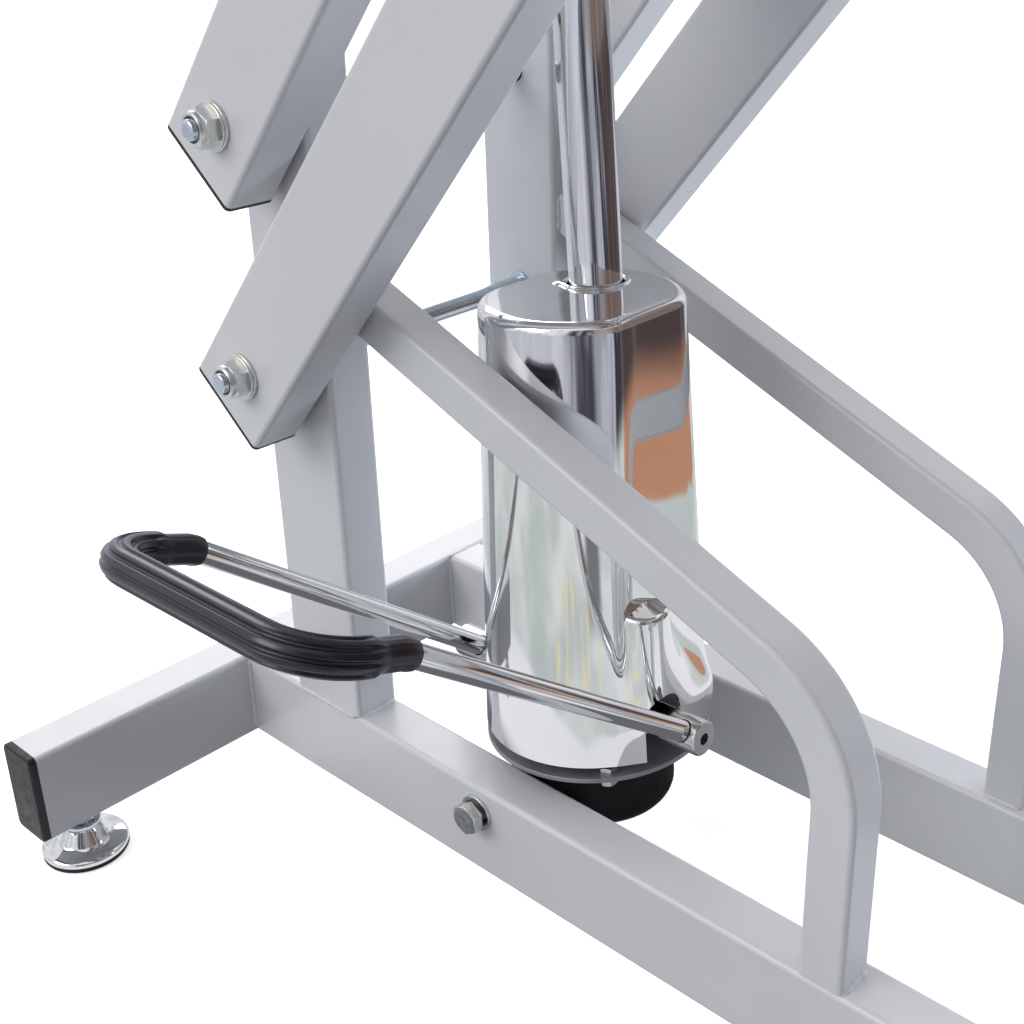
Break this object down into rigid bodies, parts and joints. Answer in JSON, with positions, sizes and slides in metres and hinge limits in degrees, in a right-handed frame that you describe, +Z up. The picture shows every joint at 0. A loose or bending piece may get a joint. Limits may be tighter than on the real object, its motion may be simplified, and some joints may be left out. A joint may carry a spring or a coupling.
{
  "type": "grooming table",
  "caption": "Foot-pumped hydraulic grooming table: box tube base, parallel-arm lift, chrome covered pump with U-shaped pedal, rubber-topped board.",
  "frame": {"origin": "on the floor, under the middle of the tabletop at rest", "axes": "+Z up, +X along the base rails from the posts, the pedal on the -Y side"},
  "size_m": [1.1, 0.6, 0.9715],
  "materials": {
    "frame_paint": "light grey powder coat",
    "chrome": "polished chrome plate",
    "steel": "machined steel",
    "zinc": "bright zinc plate",
    "rubber": "black rubber",
    "black_plastic": "black plastic",
    "casting": "black painted casting",
    "flange_grey": "grey plate",
    "board": "plywood"
  },
  "bodies": {
    "base": {"base_cross_tube_rear": "frame_paint", "base_cross_tube_front": "frame_paint", "base_rail_near": "frame_paint", "base_rail_far": "frame_paint", "post_near": "frame_paint", "post_far": "frame_paint", "brace_near": "frame_paint", "brace_far": "frame_paint", "base_cap_rear_near": "black_plastic", "base_cap_rear_far": "black_plastic", "base_cap_front_near": "black_plastic", "base_cap_front_far": "black_plastic", "trunnion_bolt_near": "zinc", "trunnion_bolt_far": "zinc", "lower_post_axle": "zinc", "upper_post_axle": "zinc"},
    "lower_arms": {"lower_arm_near": "frame_paint", "lower_arm_far": "frame_paint", "lower_arm_cap_near": "black_plastic", "lower_arm_cap_far": "black_plastic"},
    "upper_arms": {"upper_arm_near": "frame_paint", "upper_arm_far": "frame_paint", "upper_arm_cap_near": "black_plastic", "upper_arm_cap_far": "black_plastic", "lift_cross_tube": "frame_paint"},
    "tabletop": {"table_bracket_near": "frame_paint", "table_bracket_far": "frame_paint", "table_rail_near": "frame_paint", "table_rail_far": "frame_paint", "table_cross_tube_rear": "frame_paint", "table_cross_tube_front": "frame_paint", "table_board": "board", "table_mat": "rubber", "table_edge_trim": "black_plastic", "lower_table_axle": "zinc", "upper_table_axle": "zinc"},
    "pump": {"pump_base": "casting", "pump_flange": "flange_grey", "pump_cylinder": "steel", "cylinder_gland": "steel", "pump_cover": "chrome", "plunger_spring": "steel"},
    "lift_rod": {"piston_rod": "chrome", "piston": "steel", "rod_pin": "zinc"},
    "pedal": {"pedal_shaft": "steel", "cam_lever": "steel", "pedal_rod": "chrome", "pedal_grip": "rubber"},
    "plunger": {"plunger": "steel"},
    "foot_rear_near": {"foot_rear_near": "chrome", "foot_pad_rear_near": "rubber"},
    "foot_rear_far": {"foot_rear_far": "chrome", "foot_pad_rear_far": "rubber"},
    "foot_front_near": {"foot_front_near": "chrome", "foot_pad_front_near": "rubber"},
    "foot_front_far": {"foot_front_far": "chrome", "foot_pad_front_far": "rubber"}
  },
  "joints": [
    {"name": "lift", "type": "hinge", "parent": "base", "child": "lower_arms", "pos_m": [-0.168, 0, 0.3183], "axis": [0, -1, 0], "range_deg": [-50, 2]},
    {"name": "upper_arm_swing", "type": "hinge", "parent": "base", "child": "upper_arms", "pos_m": [-0.168, 0, 0.4536], "axis": [0, -1, 0], "range_deg": [-50.5, 2.5]},
    {"name": "tabletop_level", "type": "hinge", "parent": "lower_arms", "child": "tabletop", "pos_m": [0.18553, 0, 0.73962], "axis": [0, -1, 0], "range_deg": [-2.5, 50.5]},
    {"name": "pump_rock", "type": "hinge", "parent": "base", "child": "pump", "pos_m": [-0.0353, 0, 0.0725], "axis": [0, 1, 0], "range_deg": [-0.6, 8.8]},
    {"name": "rod_slide", "type": "slide", "parent": "pump", "child": "lift_rod", "axis": [-0.0629, 0, 0.998], "range_m": [-0.1392, 0.006]},
    {"name": "pedal_press", "type": "hinge", "parent": "pump", "child": "pedal", "pos_m": [-0.00926, -0.041, 0.13626], "axis": [0.998, 0, 0.0629], "range_deg": [-6, 28], "stiffness_Nm_per_rad": 12, "springref_deg": -4.76},
    {"name": "plunger_slide", "type": "slide", "parent": "pump", "child": "plunger", "axis": [-0.0629, 0, 0.998], "range_m": [-0.0104, 0.0023], "deforming": ["plunger_spring"]},
    {"name": "foot_screw_rear_near", "type": "hinge", "parent": "base", "child": "foot_rear_near", "pos_m": [-0.265, -0.228, 0], "axis": [0, 0, 1], "continuous": true},
    {"name": "foot_screw_rear_far", "type": "hinge", "parent": "base", "child": "foot_rear_far", "pos_m": [-0.265, 0.228, 0], "axis": [0, 0, 1], "continuous": true},
    {"name": "foot_screw_front_near", "type": "hinge", "parent": "base", "child": "foot_front_near", "pos_m": [0.455, -0.228, 0], "axis": [0, 0, 1], "continuous": true},
    {"name": "foot_screw_front_far", "type": "hinge", "parent": "base", "child": "foot_front_far", "pos_m": [0.455, 0.228, 0], "axis": [0, 0, 1], "continuous": true}
  ],
  "couplings": [
    {"joint": "upper_arm_swing", "follows": "lift", "ratio": 1},
    {"joint": "tabletop_level", "follows": "lift", "ratio": -1},
    {"joint": "pump_rock", "follows": "lift", "ratio": -0.17092},
    {"joint": "rod_slide", "follows": "lift", "m_per_rad": 0.15829},
    {"joint": "plunger_slide", "follows": "pedal_press", "m_per_rad": -0.021}
  ]
}
